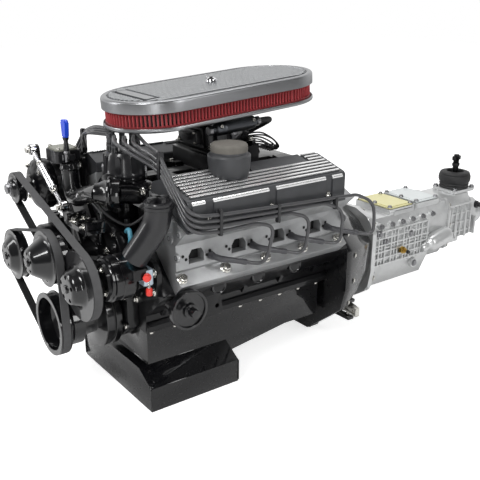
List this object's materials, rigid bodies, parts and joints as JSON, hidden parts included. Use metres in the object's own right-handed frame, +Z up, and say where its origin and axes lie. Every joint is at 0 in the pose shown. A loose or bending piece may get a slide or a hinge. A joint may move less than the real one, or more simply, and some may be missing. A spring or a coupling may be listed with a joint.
{
  "type": "v8_engine",
  "caption": "V engine with belt-driven front accessories, finned covers, an oval air cleaner and a gearbox behind; it turns fuel into shaft power",
  "frame": {"origin": "on the crank axis, midway along the engine's two side mounts", "axes": "+X is the left bank side, +Y runs back to the gearbox, +Z is up"},
  "size_m": [0.5684, 1.5399, 0.7161],
  "materials": {
    "painted_black": "gloss black engine paint",
    "cast_aluminium": "as cast, lightly blasted",
    "covers_charcoal": "charcoal wrinkle paint with polished fins",
    "polished_aluminium": "satin polished cast aluminium",
    "filter_red": "red oiled cotton pleats",
    "steel": "machined steel",
    "chrome": "chrome plate",
    "rubber": "ribbed belt with a smooth grey back",
    "gasket_dark": "graphite faced gasket",
    "plastic_black": "moulded black plastic",
    "plastic_blue": "blue moulded handle",
    "covers_pale": "pale paint",
    "lever_black": "black oxide"
  },
  "bodies": {
    "engine": {"accessory_bracket_left": "painted_black", "accessory_bracket_right": "painted_black", "air_cleaner_base": "polished_aluminium", "air_cleaner_lid": "polished_aluminium", "air_filter": "filter_red", "bell_housing": "cast_aluminium", "block_plate": "painted_black", "breather": "plastic_black", "cooling_compressor": "painted_black", "cylinder_head_left": "cast_aluminium", "cylinder_head_right": "cast_aluminium", "dipstick_tube": "painted_black", "distributor_cap": "plastic_black", "distributor_housing": "plastic_black", "engine_block": "painted_black", "front_belt": "rubber", "fuel_rail": "cast_aluminium", "gearbox_case": "cast_aluminium", "gearbox_covers": "covers_pale", "generator": "cast_aluminium", "generator_link": "chrome", "head_bolts": "steel", "head_gaskets": "gasket_dark", "ignition_coil": "plastic_black", "intake_manifold": "cast_aluminium", "oil_filter_adapter": "painted_black", "oil_pan": "painted_black", "plug_wires": "plastic_black", "rear_belt": "rubber", "shifter_tower": "plastic_black", "spark_plugs": "steel", "steering_filler_neck": "plastic_black", "steering_pump": "painted_black", "tail_housing": "cast_aluminium", "throttle_body": "cast_aluminium", "timing_chain": "steel", "timing_cover": "painted_black", "valve_cover_left": "covers_charcoal", "valve_cover_right": "covers_charcoal", "water_outlet": "painted_black", "water_pump": "cast_aluminium"},
    "crank": {"crankshaft": "steel", "crank_sprocket": "steel", "crank_damper": "painted_black", "crank_pulley": "painted_black", "flywheel_and_clutch": "steel"},
    "cam": {"camshaft": "steel", "cam_sprocket": "steel"},
    "pump_rotor": {"water_pump_pulley": "painted_black"},
    "compressor_rotor": {"compressor_pulley": "painted_black"},
    "generator_rotor": {"generator_pulley": "painted_black"},
    "steering_rotor": {"steering_pulley": "painted_black"},
    "distributor_rotor_body": {"distributor_rotor": "plastic_black"},
    "throttle": {"throttle_shaft": "steel"},
    "output": {"output_shaft": "steel"},
    "lever": {"shift_lever": "lever_black"},
    "nut": {"cleaner_nut": "chrome"},
    "filler_cap": {"steering_filler_cap": "plastic_black"},
    "dipstick_body": {"dipstick": "plastic_blue"},
    "fork": {"clutch_fork": "steel"}
  },
  "joints": [
    {"name": "crank_spin", "type": "hinge", "parent": "engine", "child": "crank", "pos_m": [0, 0, 0], "axis": [0, 1, 0], "continuous": true},
    {"name": "cam_spin", "type": "hinge", "parent": "engine", "child": "cam", "pos_m": [0, 0, 0.112], "axis": [0, 1, 0], "continuous": true},
    {"name": "pump_spin", "type": "hinge", "parent": "engine", "child": "pump_rotor", "pos_m": [0, 0, 0.154], "axis": [0, 1, 0], "continuous": true},
    {"name": "compressor_spin", "type": "hinge", "parent": "engine", "child": "compressor_rotor", "pos_m": [-0.198, 0, 0.104], "axis": [0, 1, 0], "continuous": true},
    {"name": "generator_spin", "type": "hinge", "parent": "engine", "child": "generator_rotor", "pos_m": [-0.214, 0, 0.26], "axis": [0, 1, 0], "continuous": true},
    {"name": "steering_spin", "type": "hinge", "parent": "engine", "child": "steering_rotor", "pos_m": [0.118, 0, 0.126], "axis": [0, 1, 0], "continuous": true},
    {"name": "distributor_spin", "type": "hinge", "parent": "engine", "child": "distributor_rotor_body", "pos_m": [0, -0.12, 0.3], "axis": [0, 0, 1], "continuous": true},
    {"name": "output_spin", "type": "hinge", "parent": "engine", "child": "output", "pos_m": [0, 0, 0], "axis": [0, 1, 0], "continuous": true},
    {"name": "throttle_turn", "type": "hinge", "parent": "engine", "child": "throttle", "pos_m": [0, 0.1448, 0.3815], "axis": [1, 0, 0], "range_deg": [0, 75], "stiffness_Nm_per_rad": 0.02, "springref_deg": -17.19},
    {"name": "lever_rock", "type": "hinge", "parent": "engine", "child": "lever", "pos_m": [0, 1.058, 0.104], "axis": [1, 0, 0], "range_deg": [-12, 12]},
    {"name": "nut_turn", "type": "hinge", "parent": "engine", "child": "nut", "pos_m": [0, 0.11571, 0.47967], "axis": [0, -0.0715, 0.9974], "continuous": true},
    {"name": "filler_cap_turn", "type": "hinge", "parent": "engine", "child": "filler_cap", "pos_m": [0.208, -0.156, 0.31], "axis": [0, 0, 1], "continuous": true},
    {"name": "fork_swing", "type": "hinge", "parent": "engine", "child": "fork", "pos_m": [0.16, 0.447, -0.11], "axis": [0, 0, 1], "range_deg": [-6, 6]},
    {"name": "dipstick_pull", "type": "slide", "parent": "engine", "child": "dipstick_body", "axis": [0, 0, 1], "range_m": [0, 0.25]}
  ],
  "couplings": [
    {"joint": "cam_spin", "follows": "crank_spin", "ratio": 0.5},
    {"joint": "distributor_spin", "follows": "crank_spin", "ratio": 0.5},
    {"joint": "pump_spin", "follows": "crank_spin", "ratio": 1.1724},
    {"joint": "compressor_spin", "follows": "crank_spin", "ratio": 1.2143},
    {"joint": "generator_spin", "follows": "crank_spin", "ratio": 1.4655},
    {"joint": "steering_spin", "follows": "crank_spin", "ratio": 0.66051}
  ]
}
